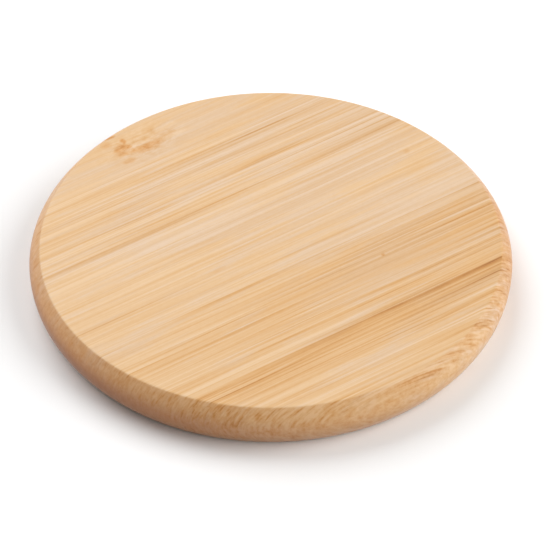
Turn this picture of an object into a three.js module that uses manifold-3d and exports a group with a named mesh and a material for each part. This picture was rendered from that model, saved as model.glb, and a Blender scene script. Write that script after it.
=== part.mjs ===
// Wireless charging pad: a turned bamboo disc with the charging electronics in a pocket milled from below.
// Millimetres, +Z up. The origin is the centre of the plane that the pad stands on, +X runs along the
// bamboo's grain, and +Y points out through the USB-C port.
import * as THREE from "three";
import { mergeVertices } from "three/addons/utils/BufferGeometryUtils.js";
import Module from "manifold-3d";

const wasm = await Module();
wasm.setup();

// ---------------------------------------------------------------- driving dimensions
const PAD_RADIUS = 50; // widest point of the bamboo
const PAD_HEIGHT = 10; // desk to charging face
const FOOT_PROUD = 0.4; // the silicone ring stands this far below the bamboo
const TOP_FACE_RADIUS = 47.7; // where the flat charging face meets the rounded side
const BASE_FACE_RADIUS = 47.85; // where the rounded side meets the flat underside
const WIDEST_Z = 5.9; // height of the widest point
const MEMBRANE = 2; // bamboo left between the coil and the phone
const POCKET_RADIUS = 40;
const ROUND_SEGMENTS = 72; // around the large turned pieces

const COVER_RADIUS = 45;
const COVER_THICKNESS = 2; // at the flange
const COVER_FLOOR = 1.4; // inside the flange
const FIT_GAP = 0.2; // between the cover and its seat in the bamboo
const GROOVE_INNER = 40.1; // groove for the silicone ring
const GROOVE_OUTER = 44.1;
const GROOVE_DEPTH = 0.6;
const RING_SIDE_GAP = 0.1;
const RING_TOP_GAP = 0.05;

const BASE_SCREW_CIRCLE = 42.2; // radius that the four hidden screws sit on
const BASE_SCREW_COUNT = 4;
const BASE_SCREW = { headRadius: 1.65, shankRadius: 0.95, coneHeight: 0.9, length: 5.5 };
const PILOT_RADIUS = 1.1;

const BOARD_RADIUS = 38.6; // the D-shaped circuit board
const BOARD_CHORD_Y = 8;
const BOARD_THICKNESS = 1;
const BOARD_NECK = { halfWidth: 5.5, tipY: 46.9 }; // carries the USB-C receptacle into the wall
const POST_HEIGHT = 0.8;
const POST_RADIUS = 2.5;
const BOARD_SCREWS = [
  [-31, 14],
  [31, 14],
  [-14, 33],
];
const BOARD_SCREW = { headRadius: 1.7, headHeight: 1, shankRadius: 0.8, length: 2.4 };
const BOARD_PILOT_RADIUS = 1;
const RECESS_WIDTH = 0.42; // of the cross in every screw head

const PORT_SLOT = { width: 12.8, height: 6.8, corner: 2.4 }; // milled through the wall for the plug's grip
const BEZEL_THICKNESS = 1.2;
const BEZEL_FACE_Y = 48.4;
const BEZEL_GAP = 0.1;
const RECEPTACLE = { width: 8.94, height: 3.26, length: 7.35, wall: 0.3, mouthY: 48.2 };
const RECEPTACLE_LEGS_Y = [42.4, 45.9];
const LEG = { thickness: 0.27, length: 1, below: 0.1 };
const TONGUE = { width: 6.69, thickness: 0.7, rootY: 43, tipY: 47.4 };

const LED_X = 12; // the indicator sits beside the port
const LED_Y = 35;
const LED_SIZE = [3, 1, 1.9];
const PIPE_RADIUS = 0.9;

const COIL = { turns: 9.7, innerRadius: 10.8, pitch: 1.17, startAngle: 2.8, wireRadius: 0.5, z: 7.3 };
const LEAD_PAD = { x: 4.2, y: 30 }; // where the coil's two leads are soldered, one each side of the middle
const FERRITE = { radius: 25, bottom: 5.65, thickness: 1, holeRadius: 4, slotWidth: 1.8 };
const FILM = { radius: 25.5, bottom: 5.45, thickness: 0.1 };
const TAPE = { innerRadius: 3.5, outerRadius: 22.8, thickness: 0.15 };
const FOAM = { width: 28, depth: 18, y: -13, cornerRadius: 3 };

// ---------------------------------------------------------------- heights that follow from them
const COVER_BOTTOM = FOOT_PROUD;
const COVER_TOP = COVER_BOTTOM + COVER_THICKNESS;
const FLOOR_TOP = COVER_BOTTOM + COVER_FLOOR;
const GROOVE_TOP = COVER_BOTTOM + GROOVE_DEPTH;
const BOARD_BOTTOM = FLOOR_TOP + POST_HEIGHT;
const BOARD_TOP = BOARD_BOTTOM + BOARD_THICKNESS;
const CEILING = PAD_HEIGHT - MEMBRANE;
const SOLDER_GAP = 0.02; // under the parts that are soldered on
const BOND_GAP = 0.02; // between the layers that are bonded together
const PORT_Z = BOARD_TOP + SOLDER_GAP + RECEPTACLE.height / 2;
const LED_Z = BOARD_TOP + SOLDER_GAP + LED_SIZE[2] / 2;

// ---------------------------------------------------------------- materials
const finish = (color, roughness, metalness = 0) =>
  new THREE.MeshStandardMaterial({ color, roughness, metalness });
const MATERIALS = {
  bamboo: finish(0xe4bc8c, 0.6),
  coverPlastic: finish(0x232325, 0.6),
  silicone: finish(0x35363a, 0.85),
  screwSteel: finish(0xb4b6ba, 0.35, 1),
  circuitBoard: finish(0x1d5a34, 0.45),
  receptacleSteel: finish(0xc8cacd, 0.3, 1),
  connectorPlastic: finish(0x141415, 0.5),
  copperWire: finish(0xb8683a, 0.4, 1),
  ferrite: finish(0x3b3b3e, 0.7),
  tape: finish(0xe8e4d8, 0.5),
  film: finish(0xb06a18, 0.3),
  foam: finish(0x2b2b2c, 0.95),
  thermistor: finish(0x1b1b1b, 0.4),
  chipPackage: finish(0x1a1a1c, 0.5),
  capacitor: finish(0xb08a62, 0.5),
  resistor: finish(0x202124, 0.5),
  led: finish(0xf2efe2, 0.3),
  lightPipe: finish(0xf4f6f6, 0.15),
};

// ---------------------------------------------------------------- solid helpers
// A closed geometry as a manifold-3d solid.
function solidOf(geometry) {
  const bare = geometry.clone();
  bare.deleteAttribute("normal");
  bare.deleteAttribute("uv");
  const merged = mergeVertices(bare, 1e-4);
  return new wasm.Manifold(
    new wasm.Mesh({
      numProp: 3,
      vertProperties: merged.attributes.position.array,
      triVerts: new Uint32Array(merged.index.array),
    }),
  );
}

// A manifold-3d solid as a geometry.
function geometryOf(solid) {
  const mesh = solid.getMesh();
  const geometry = new THREE.BufferGeometry();
  geometry.setAttribute("position", new THREE.BufferAttribute(new Float32Array(mesh.vertProperties), 3));
  geometry.setIndex(new THREE.BufferAttribute(new Uint32Array(mesh.triVerts), 1));
  geometry.computeVertexNormals();
  return geometry;
}

const joined = (first, ...others) =>
  geometryOf(others.reduce((solid, other) => solid.add(solidOf(other)), solidOf(first)));
const cut = (body, ...tools) =>
  geometryOf(tools.reduce((solid, tool) => solid.subtract(solidOf(tool)), solidOf(body)));

function named(name, geometry, material) {
  const mesh = new THREE.Mesh(geometry, material);
  mesh.name = name;
  return mesh;
}

// A profile of [radius, z] pairs, going up on the outside, turned about +Z.
function turned(profile, segments = ROUND_SEGMENTS) {
  const points = profile.map(([radius, z]) => new THREE.Vector2(radius, z));
  return new THREE.LatheGeometry(points, segments).rotateX(Math.PI / 2);
}

const disc = (radius, bottom, thickness, segments = 48) =>
  turned([[0, bottom], [radius, bottom], [radius, bottom + thickness], [0, bottom + thickness]], segments);

function ring(innerRadius, outerRadius, bottom, thickness, segments = 48) {
  const top = bottom + thickness;
  const profile = [[innerRadius, bottom], [outerRadius, bottom], [outerRadius, top], [innerRadius, top]];
  return turned([...profile, profile[0]], segments);
}

// A box whose bottom face is centred on (x, y, bottom).
const block = ([width, depth, height], x, y, bottom) =>
  new THREE.BoxGeometry(width, depth, height).translate(x, y, bottom + height / 2);

// An upright cylinder or cone standing on bottom.
const post = (radius, height, x, y, bottom, topRadius = radius, segments = 16) =>
  new THREE.CylinderGeometry(topRadius, radius, height, segments)
    .rotateX(Math.PI / 2)
    .translate(x, y, bottom + height / 2);

const bore = (radius, height, x, y, bottom) => post(radius, height, x, y, bottom, radius, 12);

function roundedRectangle(width, height, corner) {
  const [x, y] = [width / 2, height / 2];
  const shape = new THREE.Shape();
  shape.moveTo(x - corner, -y);
  shape.absarc(x - corner, corner - y, corner, -Math.PI / 2, 0);
  shape.absarc(x - corner, y - corner, corner, 0, Math.PI / 2);
  shape.absarc(corner - x, y - corner, corner, Math.PI / 2, Math.PI);
  shape.absarc(corner - x, corner - y, corner, Math.PI, Math.PI * 1.5);
  return shape;
}

// A rounded rectangle in the XZ plane about the port's axis, pushed out from y0 to y1.
function portPrism(width, height, corner, y0, y1) {
  const options = { depth: y1 - y0, bevelEnabled: false, curveSegments: 4 };
  return new THREE.ExtrudeGeometry(roundedRectangle(width, height, corner), options)
    .rotateX(Math.PI / 2)
    .translate(0, y1, PORT_Z);
}

// The same with full round ends, grown by offset all round.
function racetrackPrism({ width, height }, offset, y0, y1) {
  const [grownWidth, grownHeight] = [width + 2 * offset, height + 2 * offset];
  const almostHalf = 0.499; // a full half would leave straight sides of no length
  return portPrism(grownWidth, grownHeight, grownHeight * almostHalf, y0, y1);
}

function aroundCircle(count, radius) {
  return Array.from({ length: count }, (_, i) => {
    const angle = ((i + 0.5) * 2 * Math.PI) / count;
    return [radius * Math.cos(angle), radius * Math.sin(angle)];
  });
}
const baseScrewPlaces = aroundCircle(BASE_SCREW_COUNT, BASE_SCREW_CIRCLE);

// The receptacle's four legs go down through the board.
const legX = (RECEPTACLE.width - LEG.thickness) / 2;
const legPlaces = RECEPTACLE_LEGS_Y.flatMap((y) => [
  [-legX, y],
  [legX, y],
]);

// A bore along +Y for the light pipe.
const yCylinder = (radius, y0, y1, segments = 20) =>
  new THREE.CylinderGeometry(radius, radius, y1 - y0, segments).translate(LED_X, (y0 + y1) / 2, LED_Z);

// ---------------------------------------------------------------- casing
// The rounded side, from the base face up to the charging face: two parabolas that meet at the widest point.
function sideProfile(steps = 4) {
  const points = [];
  for (let i = 0; i <= steps; i++) {
    const share = i / steps;
    const inset = (PAD_RADIUS - BASE_FACE_RADIUS) * (1 - share) ** 2;
    points.push([PAD_RADIUS - inset, FOOT_PROUD + share * (WIDEST_Z - FOOT_PROUD)]);
  }
  for (let i = 1; i <= steps; i++) {
    const share = i / steps;
    const inset = (PAD_RADIUS - TOP_FACE_RADIUS) * share ** 2;
    points.push([PAD_RADIUS - inset, WIDEST_Z + share * (PAD_HEIGHT - WIDEST_Z)]);
  }
  return points;
}

function bambooHousing() {
  const seatRadius = COVER_RADIUS + FIT_GAP;
  const seatTop = COVER_TOP;
  const body = turned([
    [0, CEILING],
    [POCKET_RADIUS, CEILING],
    [POCKET_RADIUS, seatTop],
    [seatRadius, seatTop],
    [seatRadius, FOOT_PROUD],
    ...sideProfile(),
    [0, PAD_HEIGHT],
  ]);
  const { width, height, corner } = PORT_SLOT;
  const slot = portPrism(width, height, corner, POCKET_RADIUS - 2, PAD_RADIUS + 2);
  const pipeBore = yCylinder(PIPE_RADIUS + 0.15, POCKET_RADIUS - 3, PAD_RADIUS + 1);
  const pilotDepth = BASE_SCREW.length - 1;
  const pilots = baseScrewPlaces.map(([x, y]) => bore(PILOT_RADIUS, pilotDepth + 1, x, y, seatTop - 1));
  return named("bamboo_housing", cut(body, slot, pipeBore, ...pilots), MATERIALS.bamboo);
}

function baseCover() {
  const flangeInner = BOARD_RADIUS + 0.4;
  const printRecess = { radius: 33, depth: 0.2 };
  const plate = turned([
    [0, COVER_BOTTOM + printRecess.depth],
    [printRecess.radius, COVER_BOTTOM + printRecess.depth],
    [printRecess.radius + printRecess.depth, COVER_BOTTOM],
    [GROOVE_INNER, COVER_BOTTOM],
    [GROOVE_INNER, GROOVE_TOP],
    [GROOVE_OUTER, GROOVE_TOP],
    [GROOVE_OUTER, COVER_BOTTOM],
    [COVER_RADIUS - 0.2, COVER_BOTTOM],
    [COVER_RADIUS, COVER_BOTTOM + 0.2],
    [COVER_RADIUS, COVER_TOP],
    [flangeInner, COVER_TOP],
    [flangeInner, FLOOR_TOP],
    [0, FLOOR_TOP],
  ]);
  const rooted = 0.2; // each post starts this far down inside the plate
  const posts = BOARD_SCREWS.map(([x, y]) =>
    post(POST_RADIUS, POST_HEIGHT + rooted, x, y, FLOOR_TOP - rooted),
  );
  const boreBottom = FLOOR_TOP - 0.9;
  const postBores = BOARD_SCREWS.map(([x, y]) => bore(BOARD_PILOT_RADIUS, COVER_THICKNESS, x, y, boreBottom));
  const screwHoles = baseScrewPlaces.flatMap(([x, y]) => [
    post(BASE_SCREW.headRadius + 0.15, BASE_SCREW.coneHeight + 0.1, x, y, GROOVE_TOP - 0.05, PILOT_RADIUS),
    bore(PILOT_RADIUS, COVER_THICKNESS, x, y, GROOVE_TOP),
  ]);
  const solid = joined(plate, ...posts);
  return named("base_cover", cut(solid, ...postBores, ...screwHoles), MATERIALS.coverPlastic);
}

function antiSlipRing() {
  const [inner, outer] = [GROOVE_INNER + RING_SIDE_GAP, GROOVE_OUTER - RING_SIDE_GAP];
  const top = GROOVE_TOP - RING_TOP_GAP;
  const soften = 0.2; // bevel on the two edges that meet the desk
  const foot = [[inner + soften, 0], [outer - soften, 0]];
  const sides = [[outer, soften], [outer, top], [inner, top], [inner, soften]];
  return named("anti_slip_ring", turned([...foot, ...sides, foot[0]]), MATERIALS.silicone);
}

// The two bars that cut a cross recess into a screw head whose face is at faceZ.
const crossBars = (length, depth, faceZ) =>
  [0, Math.PI / 2].map((turn) =>
    new THREE.BoxGeometry(length, RECESS_WIDTH, 2 * depth).rotateZ(turn).translate(0, 0, faceZ),
  );

// A countersunk self-tapping screw with a cross recess, its head down in the groove.
function baseScrew(index) {
  const [x, y] = baseScrewPlaces[index];
  const { headRadius, shankRadius, coneHeight, length } = BASE_SCREW;
  const bottom = GROOVE_TOP + 0.05;
  const screw = turned(
    [
      [0, 0],
      [headRadius, 0],
      [shankRadius, coneHeight],
      [shankRadius, length - 0.8],
      [0.2, length],
      [0, length],
    ],
    12,
  );
  const mesh = named(`base_screw_${index + 1}`, cut(screw, ...crossBars(1.8, 0.55, 0)), MATERIALS.screwSteel);
  mesh.position.set(x, y, bottom);
  return mesh;
}

// ---------------------------------------------------------------- port and indicator
function portBezel() {
  const { width, height, corner } = PORT_SLOT;
  const inset = 2 * BEZEL_GAP;
  const back = BEZEL_FACE_Y - BEZEL_THICKNESS;
  const plate = portPrism(width - inset, height - inset, corner - BEZEL_GAP, back, BEZEL_FACE_Y);
  const clearance = 0.17; // around the receptacle
  const hole = racetrackPrism(RECEPTACLE, clearance, back - 1, BEZEL_FACE_Y + 1);
  return named("port_bezel", cut(plate, hole), MATERIALS.coverPlastic);
}

function receptacleShell() {
  const { length, wall, mouthY } = RECEPTACLE;
  const back = mouthY - length;
  const outer = racetrackPrism(RECEPTACLE, 0, back, mouthY);
  const hollow = racetrackPrism(RECEPTACLE, -wall, back + wall, mouthY + 1);
  const legBottom = BOARD_BOTTOM - LEG.below;
  const legSize = [LEG.thickness, LEG.length, PORT_Z - legBottom];
  const legs = legPlaces.map(([x, y]) => block(legSize, x, y, legBottom));
  return named("usb_c_shell", cut(joined(outer, ...legs), hollow), MATERIALS.receptacleSteel);
}

function receptacleTongue() {
  const { length, wall, mouthY } = RECEPTACLE;
  const inset = wall + 0.07; // just clear of the shell
  const root = racetrackPrism(RECEPTACLE, -inset, mouthY - length + inset, TONGUE.rootY);
  const blade = portPrism(TONGUE.width, TONGUE.thickness, 0.1, TONGUE.rootY - 0.5, TONGUE.tipY);
  return named("usb_c_tongue", joined(root, blade), MATERIALS.connectorPlastic);
}

function lightPipe() {
  const wallAtPipe = Math.sqrt(PAD_RADIUS ** 2 - (LED_X + PIPE_RADIUS) ** 2);
  const start = LED_Y + LED_SIZE[1] / 2 + 0.3;
  return named("light_pipe", yCylinder(PIPE_RADIUS, start, wallAtPipe - 0.2), MATERIALS.lightPipe);
}

// ---------------------------------------------------------------- circuit board and what is soldered to it
function mainBoard() {
  const chordAngle = Math.asin(BOARD_CHORD_Y / BOARD_RADIUS);
  const neckAngle = Math.acos(BOARD_NECK.halfWidth / BOARD_RADIUS);
  const outline = new THREE.Shape();
  outline.absarc(0, 0, BOARD_RADIUS, chordAngle, neckAngle);
  outline.lineTo(BOARD_NECK.halfWidth, BOARD_NECK.tipY);
  outline.lineTo(-BOARD_NECK.halfWidth, BOARD_NECK.tipY);
  outline.absarc(0, 0, BOARD_RADIUS, Math.PI - neckAngle, Math.PI - chordAngle);
  const options = { depth: BOARD_THICKNESS, bevelEnabled: false, curveSegments: 20 };
  const board = new THREE.ExtrudeGeometry(outline, options).translate(0, 0, BOARD_BOTTOM);
  const through = BOARD_THICKNESS + 1;
  const below = BOARD_BOTTOM - 0.5;
  const screwHoles = BOARD_SCREWS.map(([x, y]) => bore(BOARD_SCREW.shankRadius + 0.3, through, x, y, below));
  const slotSize = [LEG.thickness + 0.3, LEG.length + 0.3, through];
  const legSlots = legPlaces.map(([x, y]) => block(slotSize, x, y, below));
  return named("main_pcb", cut(board, ...screwHoles, ...legSlots), MATERIALS.circuitBoard);
}

// A pan-head screw that holds the board to its post.
function boardScrew(index) {
  const [x, y] = BOARD_SCREWS[index];
  const { headRadius, headHeight, shankRadius, length } = BOARD_SCREW;
  const screw = turned(
    [
      [0, -length],
      [shankRadius, 0.3 - length],
      [shankRadius, 0],
      [headRadius, 0],
      [headRadius, headHeight * 0.6],
      [headRadius * 0.7, headHeight],
      [0, headHeight],
    ],
    12,
  );
  const recess = crossBars(1.9, 0.5, headHeight);
  const mesh = named(`pcb_screw_${index + 1}`, cut(screw, ...recess), MATERIALS.screwSteel);
  mesh.position.set(x, y, BOARD_TOP + SOLDER_GAP);
  return mesh;
}

const CHIPS = [
  { name: "control_ic", size: [5, 5, 0.85], x: -12, y: 20, turn: 0, material: "chipPackage" },
  { name: "bridge_mosfet_1", size: [3.3, 3.3, 0.8], x: 9, y: 19, turn: 0, material: "chipPackage" },
  { name: "bridge_mosfet_2", size: [3.3, 3.3, 0.8], x: 14, y: 19, turn: 0, material: "chipPackage" },
  { name: "resonant_capacitor_1", size: [3.2, 2.5, 1.8], x: 25.5, y: 13.5, turn: 90, material: "capacitor" },
  { name: "resonant_capacitor_2", size: [3.2, 2.5, 1.8], x: 26, y: 18.5, turn: 90, material: "capacitor" },
  { name: "resonant_capacitor_3", size: [3.2, 2.5, 1.8], x: 23, y: 23.2, turn: 90, material: "capacitor" },
  { name: "resonant_capacitor_4", size: [3.2, 2.5, 1.8], x: 19, y: 27.4, turn: 90, material: "capacitor" },
  { name: "input_capacitor_1", size: [3.2, 1.6, 1.6], x: -8.5, y: 30.6, turn: 0, material: "capacitor" },
  { name: "input_capacitor_2", size: [3.2, 1.6, 1.6], x: -8.5, y: 33.6, turn: 0, material: "capacitor" },
  { name: "current_sense_resistor", size: [3.2, 1.6, 0.6], x: 1, y: 24, turn: 0, material: "resistor" },
  { name: "indicator_led", size: LED_SIZE, x: LED_X, y: LED_Y, turn: 0, material: "led" },
];

// A surface-mounted package: a block with its upper edges broken.
function chip({ name, size, x, y, turn, material }) {
  const [width, depth, height] = size;
  const bevel = Math.min(0.12, height / 5);
  const corner = 0.15;
  const options = {
    depth: height - bevel,
    bevelSize: bevel,
    bevelOffset: -bevel,
    bevelThickness: bevel,
    bevelSegments: 1,
    curveSegments: 1,
  };
  // The lower bevel is cut off, so the package stands on its full outline.
  const body = new THREE.ExtrudeGeometry(roundedRectangle(width, depth, corner + bevel), options);
  const lowest = block([width + 2, depth + 2, 2], 0, 0, -2);
  const mesh = named(name, cut(body, lowest), MATERIALS[material]);
  mesh.rotation.z = THREE.MathUtils.degToRad(turn);
  mesh.position.set(x, y, BOARD_TOP + SOLDER_GAP);
  return mesh;
}

// ---------------------------------------------------------------- coil stack, bonded under the membrane
// A wire of round section along a route of [x, y, z] points.
function wire(radius, route, steps, sides) {
  const path = new THREE.CatmullRomCurve3(route.map((point) => new THREE.Vector3(...point)));
  const section = new THREE.Shape().absarc(0, 0, radius, 0, 2 * Math.PI);
  const options = { steps, extrudePath: path, bevelEnabled: false, curveSegments: sides / 2 };
  return new THREE.ExtrudeGeometry(section, options);
}

// The flat spiral, from its innermost turn outwards.
function spiralRoute() {
  const { turns, innerRadius, pitch, startAngle, z } = COIL;
  const stepsPerTurn = 24;
  return Array.from({ length: Math.round(turns * stepsPerTurn) + 1 }, (_, i) => {
    const radius = innerRadius + (i / stepsPerTurn) * pitch;
    const angle = startAngle + (i / stepsPerTurn) * 2 * Math.PI;
    return [radius * Math.cos(angle), radius * Math.sin(angle), z];
  });
}

// One length of served litz wire: from its board pad along the ferrite's slot to the middle, through the
// turns, and over the ferrite's edge to the other pad.
function txCoil() {
  const { z, wireRadius } = COIL;
  const padZ = BOARD_TOP + wireRadius + 0.05;
  const slotZ = FERRITE.bottom + FERRITE.thickness / 2;
  const innerLead = [
    [-LEAD_PAD.x, LEAD_PAD.y + 1.2, padZ],
    [-LEAD_PAD.x, LEAD_PAD.y - 0.2, padZ + 0.25],
    [-2.8, 28.4, 5],
    [-1.3, 27.2, 5.7],
    [-0.2, 25.8, slotZ],
    [0, 22, slotZ],
    [0, 12, slotZ],
    [0, 9.8, slotZ + 0.05],
    [0, 8.2, 6.7],
    [-0.1, 6.8, z - 0.1],
    [-0.9, 5.6, z],
    [-2.8, 5, z],
    [-6, 5.4, z],
    [-8.8, 5.2, z],
  ];
  const outerLead = [
    [11.2, 20.2, z],
    [9.2, 23.9, z],
    [7.4, 26.4, 6.6],
    [5.6, 28.8, 5.2],
    [LEAD_PAD.x, LEAD_PAD.y + 0.2, padZ + 0.2],
    [LEAD_PAD.x - 0.2, LEAD_PAD.y + 1.4, padZ],
  ];
  const route = [...innerLead, ...spiralRoute(), ...outerLead];
  return named("tx_coil", wire(wireRadius, route, 280, 6), MATERIALS.copperWire);
}

function ferriteShield() {
  const { radius, bottom, thickness, holeRadius, slotWidth } = FERRITE;
  const plate = ring(holeRadius, radius, bottom, thickness);
  const slot = block([slotWidth, radius + 2, thickness + 2], 0, (radius + 2) / 2, bottom - 1);
  return named("ferrite_shield", cut(plate, slot), MATERIALS.ferrite);
}

function coilTape() {
  const bottom = CEILING - BOND_GAP - TAPE.thickness;
  return named("coil_tape", ring(TAPE.innerRadius, TAPE.outerRadius, bottom, TAPE.thickness), MATERIALS.tape);
}

function insulatingFilm() {
  const film = ring(FERRITE.holeRadius, FILM.radius, FILM.bottom, FILM.thickness);
  return named("insulating_film", film, MATERIALS.film);
}

function foamSpacer() {
  const outline = roundedRectangle(FOAM.width, FOAM.depth, FOAM.cornerRadius);
  const height = FILM.bottom - BOND_GAP - FLOOR_TOP;
  const foam = new THREE.ExtrudeGeometry(outline, { depth: height, bevelEnabled: false, curveSegments: 5 });
  return named("foam_spacer", foam.translate(0, FOAM.y, FLOOR_TOP), MATERIALS.foam);
}

// A bead in the middle of the coil on its sleeved leads, which drop through the ferrite to the board.
function ntcThermistor() {
  const bead = new THREE.SphereGeometry(1, 12, 6).scale(1.1, 1.3, 0.7).translate(0, -0.4, CEILING - 0.95);
  const route = [
    [0, 0, CEILING - 1],
    [0, 1.6, CEILING - 1.3],
    [0, 2.4, 5.6],
    [0, 3.6, 4.7],
    [0, 6.5, 4.4],
    [0, BOARD_CHORD_Y + 2.5, BOARD_TOP + 0.4],
  ];
  return named("ntc_thermistor", joined(bead, wire(0.35, route, 16, 8)), MATERIALS.thermistor);
}

// ---------------------------------------------------------------- assembly
const pad = new THREE.Group();
pad.name = "wireless_charging_pad";
pad.add(bambooHousing(), baseCover(), antiSlipRing(), portBezel(), receptacleShell(), receptacleTongue());
pad.add(lightPipe(), mainBoard(), ...CHIPS.map(chip));
pad.add(txCoil(), ferriteShield(), coilTape(), insulatingFilm(), foamSpacer(), ntcThermistor());
baseScrewPlaces.forEach((_, index) => pad.add(baseScrew(index)));
BOARD_SCREWS.forEach((_, index) => pad.add(boardScrew(index)));

export default pad;
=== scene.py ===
"""Wireless charging pad for Blender 4.5: a bamboo disc with its electronics in a pocket milled from below.

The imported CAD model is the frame. Lengths are in millimetres in the code and become metres in the meshes.
+X runs along the bamboo's grain, +Y points out through the USB-C port and +Z up through the charging face.
"""

import math

import bmesh
import bpy
from mathutils import Euler, Matrix, Vector


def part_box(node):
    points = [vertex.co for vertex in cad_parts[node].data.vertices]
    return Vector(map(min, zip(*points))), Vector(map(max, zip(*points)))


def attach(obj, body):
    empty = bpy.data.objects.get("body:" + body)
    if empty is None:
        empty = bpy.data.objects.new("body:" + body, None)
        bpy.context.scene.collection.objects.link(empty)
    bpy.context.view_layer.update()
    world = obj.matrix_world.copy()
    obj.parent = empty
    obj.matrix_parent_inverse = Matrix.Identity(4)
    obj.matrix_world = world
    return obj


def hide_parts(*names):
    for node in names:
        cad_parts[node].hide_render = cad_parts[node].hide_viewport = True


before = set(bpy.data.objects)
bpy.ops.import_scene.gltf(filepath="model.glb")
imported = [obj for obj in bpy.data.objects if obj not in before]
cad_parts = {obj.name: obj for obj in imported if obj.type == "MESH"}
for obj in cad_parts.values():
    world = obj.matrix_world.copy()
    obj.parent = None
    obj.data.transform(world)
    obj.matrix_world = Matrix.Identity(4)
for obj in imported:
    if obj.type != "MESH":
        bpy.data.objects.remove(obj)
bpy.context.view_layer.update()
MM = 0.001


def corners(node):
    """The low and the high corner of a CAD node's box, in millimetres."""
    return tuple(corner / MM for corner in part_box(node))


# ---------------------------------------------------------------- sizes taken from the CAD nodes
housing_low, housing_high = corners("bamboo_housing")
cover_low, cover_high = corners("base_cover")
_, ring_high = corners("anti_slip_ring")
bezel_low, bezel_high = corners("port_bezel")
shell_low, shell_high = corners("usb_c_shell")
tongue_low, tongue_high = corners("usb_c_tongue")
foam_low, foam_high = corners("foam_spacer")
pipe_low, pipe_high = corners("light_pipe")
_, board_high = corners("main_pcb")

PAD_RADIUS = housing_high.x
BAMBOO_BOTTOM = housing_low.z
BAMBOO_TOP = housing_high.z
COVER_TOP = cover_low.z + 2.0
COVER_RADIUS = cover_high.x
PORT_Z = (bezel_low.z + bezel_high.z) / 2

# ---------------------------------------------------------------- sizes of the finished casing
TOP_FACE_RADIUS = 47.7  # where the rounded side meets the flat charging face
BASE_FACE_RADIUS = 47.85
WIDEST_Z = 5.9
CREASE_SOFTENING = 0.22  # half width of the sanded edge round the charging face
MEMBRANE = 2.0
POCKET_RADIUS = 40.0
SEAT_RADIUS = 45.2
PORT_SLOT = {"width": 12.8, "height": 6.8, "corner": 2.4}
PIPE_BORE_RADIUS = 1.05
PILOT_RADIUS = 1.1
PILOT_DEPTH = 4.5
GROOVE = (40.1, 44.1)  # inner and outer radius of the groove that holds the foot ring
GROOVE_DEPTH = 0.6
COVER_FLOOR = 1.4  # thickness of the cover within its flange
FLANGE_INSIDE = 39.0
LABEL_RECESS = {"radius": 33.0, "depth": 0.2}
POST = {"radius": 2.5, "bore": 1.0, "height": 0.8}
SHELL_WALL = 0.3
TONGUE_ROOT_END = 43.0
BLADE = {"width": 6.69, "height": 0.7, "corner": 0.12}
SCREW_COUNTS = {"base_screw": 4, "pcb_screw": 3}


def middle_of(node):
    """The centre and the size of a CAD node's box."""
    low, high = corners(node)
    return (low + high) / 2, high - low


def screw_centres(kind):
    return [middle_of(f"{kind}_{i + 1}")[0] for i in range(SCREW_COUNTS[kind])]


# ---------------------------------------------------------------- mesh helpers
def new_object(name, mesh):
    obj = bpy.data.objects.new(name, mesh)
    bpy.context.scene.collection.objects.link(obj)
    return obj


def object_from_bmesh(name, bm, sharp_angle=35):
    """A linked object in metres from a bmesh in millimetres. Edges sharper than sharp_angle stay crisp."""
    bmesh.ops.scale(bm, vec=(MM, MM, MM), verts=bm.verts)
    bmesh.ops.recalc_face_normals(bm, faces=bm.faces)
    mesh = bpy.data.meshes.new(name)
    bm.to_mesh(mesh)
    bm.free()
    mesh.shade_smooth()
    mesh.set_sharp_from_angle(angle=math.radians(sharp_angle))
    return new_object(name, mesh)


def turned(name, profile, segments, sharp_angle=35):
    """A solid of revolution about +Z. The profile is a loop of (radius, z), and may touch the axis."""
    bm = bmesh.new()
    columns = []
    for i in range(segments):
        angle = 2 * math.pi * i / segments
        c, s = math.cos(angle), math.sin(angle)
        columns.append([bm.verts.new((r * c, r * s, z)) if r > 0 else None for r, z in profile])
    on_axis = {k: bm.verts.new((0, 0, z)) for k, (r, z) in enumerate(profile) if r == 0}
    for i in range(segments):
        here, there = columns[i], columns[(i + 1) % segments]
        for k in range(len(profile)):
            after = (k + 1) % len(profile)
            corners = [here[k], there[k], there[after], here[after]]
            if k in on_axis and after in on_axis:
                continue
            if k in on_axis:
                corners = [on_axis[k], there[after], here[after]]
            elif after in on_axis:
                corners = [here[k], there[k], on_axis[after]]
            bm.faces.new(corners)
    return object_from_bmesh(name, bm, sharp_angle)


def rounded_rectangle(width, height, corner, steps=10):
    """The outline of a rounded rectangle centred on the origin, anticlockwise, as (x, y) pairs."""
    centres = [(1, -1, -90), (1, 1, 0), (-1, 1, 90), (-1, -1, 180)]
    outline = []
    for side_x, side_y, start in centres:
        cx = side_x * (width / 2 - corner)
        cy = side_y * (height / 2 - corner)
        for i in range(steps + 1):
            angle = math.radians(start + 90 * i / steps)
            outline.append((cx + corner * math.cos(angle), cy + corner * math.sin(angle)))
    return outline


def port_prism(name, outline, y0, y1):
    """An outline in the XZ plane about the port's axis, pushed out from y0 to y1."""
    bm = bmesh.new()
    skin(bm, [[bm.verts.new((x, y, PORT_Z + z)) for x, z in outline] for y in (y0, y1)])
    return object_from_bmesh(name, bm)


def skin(bm, rings):
    """Joins each ring of vertices to the next and closes both ends."""
    for here, there in zip(rings, rings[1:]):
        for k in range(len(here)):
            after = (k + 1) % len(here)
            bm.faces.new([here[k], here[after], there[after], there[k]])
    bm.faces.new(rings[0])
    bm.faces.new(list(reversed(rings[-1])))


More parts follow.
